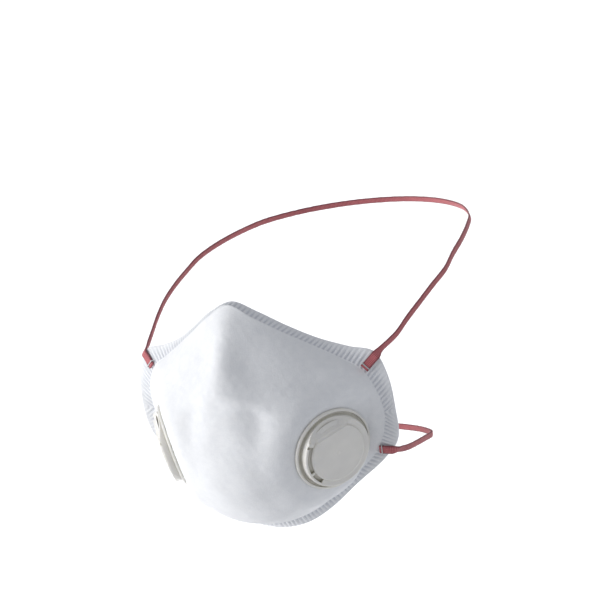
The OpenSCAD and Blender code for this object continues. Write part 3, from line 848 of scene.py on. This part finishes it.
def band(name, route, hub, stations, end_l, node, ends):
    """One continuous elastic: stapled end, free loop round the head, stapled end."""
    rim, out, face = flange_frame(stations)
    lift = END_LIFT + BAND_T / 2
    tab = [rim + out * f + face * lift for f in np.linspace(-end_l, -0.5, 5)]
    half = np.array(tab + [list(p) for p in route])
    flip = np.array([-1, 1, 1])
    control = np.concatenate([half, half[-2::-1] * flip])
    dense = open_curve(control, np.linspace(0, len(control) - 1, 60 * len(control)))
    run = np.concatenate([[0], np.cumsum(np.linalg.norm(np.diff(dense, axis=0), axis=1))])
    step = 0.9
    count = 2 * int(run[-1] / step / 2) + 1
    place = np.linspace(0, run[-1], count)
    path = np.stack([np.interp(place, run, dense[:, k]) for k in range(3)], 1)
    way = unit(np.gradient(path, axis=0))
    from_end = np.minimum(place, run[-1] - place)
    mirror = np.where((path[:, :1] < 0), flip, 1.0)
    outward = unit(path - hub)
    outward = unit(outward - way * np.sum(outward * way, 1, keepdims=True))
    flat = face * mirror
    flat = unit(flat - way * np.sum(flat * way, 1, keepdims=True))
    share = smooth(end_l - 1.5, end_l + 9, from_end)[:, None]
    outward = unit(mix(flat, outward, share))
    side = np.cross(way, outward)
    width = mix(END_W, LOOP_W, smooth(end_l - 1, end_l + 5, from_end))
    thick = mix(1.15, BAND_T, smooth(end_l - 1, end_l + 6, from_end))
    # flat oval section with full rounded selvedges
    turn = np.linspace(0, 2 * math.pi, 24, endpoint=False)
    across = np.sign(np.cos(turn)) * np.abs(np.cos(turn)) ** 0.55
    up = np.sign(np.sin(turn)) * np.abs(np.sin(turn)) ** 0.8
    wobble = 1 + 0.03 * waves(path, 4, 5)
    grid = (path[:, None] + side[:, None] * (across * 0.5)[None, :, None] * (width * wobble)[:, None, None]
            + outward[:, None] * (up * 0.5)[None, :, None] * thick[:, None, None])
    n, m = grid.shape[:2]
    faces = [[j * m + i, j * m + (i + 1) % m, (j + 1) * m + (i + 1) % m, (j + 1) * m + i]
             for j in range(n - 1) for i in range(m)]
    faces += [list(range(m))[::-1], list(range((n - 1) * m, n * m))]
    obj = piece(name, (grid.reshape(-1, 3), faces), BAND, None, [node, *ends], sharp=60)
    uv = obj.data.uv_layers.new(name="band")
    corner = np.zeros(len(obj.data.loops), int)
    obj.data.loops.foreach_get("vertex_index", corner)
    run_of = np.repeat(place, m)
    across_of = np.tile(across * END_W / 2, n)
    uv.data.foreach_set("uv", np.stack([run_of[corner], across_of[corner]], 1).astype(np.float32).ravel())
    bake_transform(obj)
    return obj


def staple(name, stations, end_l, side, node):
    """A flat wire staple: crown over the band, two legs through the flange, clinched behind."""
    rim, out, face = flange_frame(stations)
    cross = np.cross(face, out)
    centre = rim + out * (END_INSET - end_l)
    half, top, foot = 2.35, END_LIFT + BAND_T + 0.25, -1.75
    control = np.array([[-0.5, foot], [-half + 0.25, foot - 0.1], [-half, foot + 0.5], [-half, top - 0.35],
                        [-half + 0.3, top], [half - 0.3, top], [half, top - 0.35], [half, foot + 0.5],
                        [half - 0.25, foot - 0.1], [0.5, foot]])
    dense = open_curve(control, np.linspace(0, len(control) - 1, 64))
    path = centre + dense[:, :1] * cross + dense[:, 1:] * face
    way = unit(np.gradient(path, axis=0))
    turn = np.linspace(0, 2 * math.pi, 10, endpoint=False)
    normal = np.cross(out, way)
    wire_w, wire_t = 0.34, 0.24
    grid = (path[:, None] + out * (np.cos(turn) * wire_w)[None, :, None]
            + normal[:, None] * (np.sin(turn) * wire_t)[None, :, None])
    grid[..., 0] *= side
    n, m = grid.shape[:2]
    faces = [[j * m + i, j * m + (i + 1) % m, (j + 1) * m + (i + 1) % m, (j + 1) * m + i]
             for j in range(n - 1) for i in range(m)]
    faces += [list(range(m))[::-1], list(range((n - 1) * m, n * m))]
    return piece(name, (grid.reshape(-1, 3), faces), WIRE, MASK, [node], sharp=60)


def bands():
    band("upper_band_loop", UPPER_ROUTE, UPPER_HUB, UPPER_AT, UPPER_END, "upper_strap",
         ["upper_left_strap_end", "upper_right_strap_end"])
    band("lower_band_loop", LOWER_ROUTE, LOWER_HUB, LOWER_AT, LOWER_END, "lower_strap",
         ["lower_left_strap_end", "lower_right_strap_end"])
    for level, stations, end_l in (("upper", UPPER_AT, UPPER_END), ("lower", LOWER_AT, LOWER_END)):
        for side, hand in ((1, "left"), (-1, "right")):
            staple(f"{level}_{hand}_wire", stations, end_l, side, f"{level}_{hand}_staple")


# ---------------------------------------------------------------- floor and backdrop


def stage():
    """A pale floor that sweeps up into a backdrop well behind the object."""
    m = Nodes("stage_paper")
    paper = m.noise(m.place(), 3, detail=2)
    colour = m.ramp(paper, (0.9, 0.9, 0.905), (0.93, 0.93, 0.93))
    material = m.finish(colour, m.bump(m.noise(m.place(), 400), 0.05, 0.0005), 0.95)
    floor_z, back_r, rise, half = cad_box[0].z - 0.36, 2.2, 2.6, 4.0
    turn = np.linspace(0, math.pi / 2, 12)
    profile = [(-half, floor_z)]
    profile += [(back_r + rise * math.sin(a), floor_z + rise * (1 - math.cos(a))) for a in turn]
    rows = []
    for x in np.linspace(-half, half, 9):
        rows.append([(x, y, z) for y, z in profile])
    points = [p for row in rows for p in row]
    n = len(profile)
    faces = [[j * n + i, j * n + i + 1, (j + 1) * n + i + 1, (j + 1) * n + i]
             for j in range(len(rows) - 1) for i in range(n - 1)]
    mesh = bpy.data.meshes.new("stage")
    mesh.from_pydata(points, [], faces)
    mesh.polygons.foreach_set("use_smooth", np.ones(len(mesh.polygons), bool))
    mesh.materials.append(material)
    obj = bpy.data.objects.new("stage", mesh)
    obj.rotation_euler[2] = math.radians(29)
    bpy.context.scene.collection.objects.link(obj)


# ---------------------------------------------------------------- build

lights(*camera())
bands()
web("outer_web", 0, 416, 96, WEB, ["outer_shell"], 0.05)
web("filter_web", 1, 208, 56, FILTER, ["filter_layer"], 0)
web("lining_web", 2, 312, 72, LINING, ["inner_shell"], 0)
flange_weld()
nose_foam()
valves()
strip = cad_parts["nose_clip"]
strip.data.materials.clear()
strip.data.materials.append(STRIP)
bevel = strip.modifiers.new("bevel", "BEVEL")
bevel.width = 0.0002
bevel.segments = 2
stage()
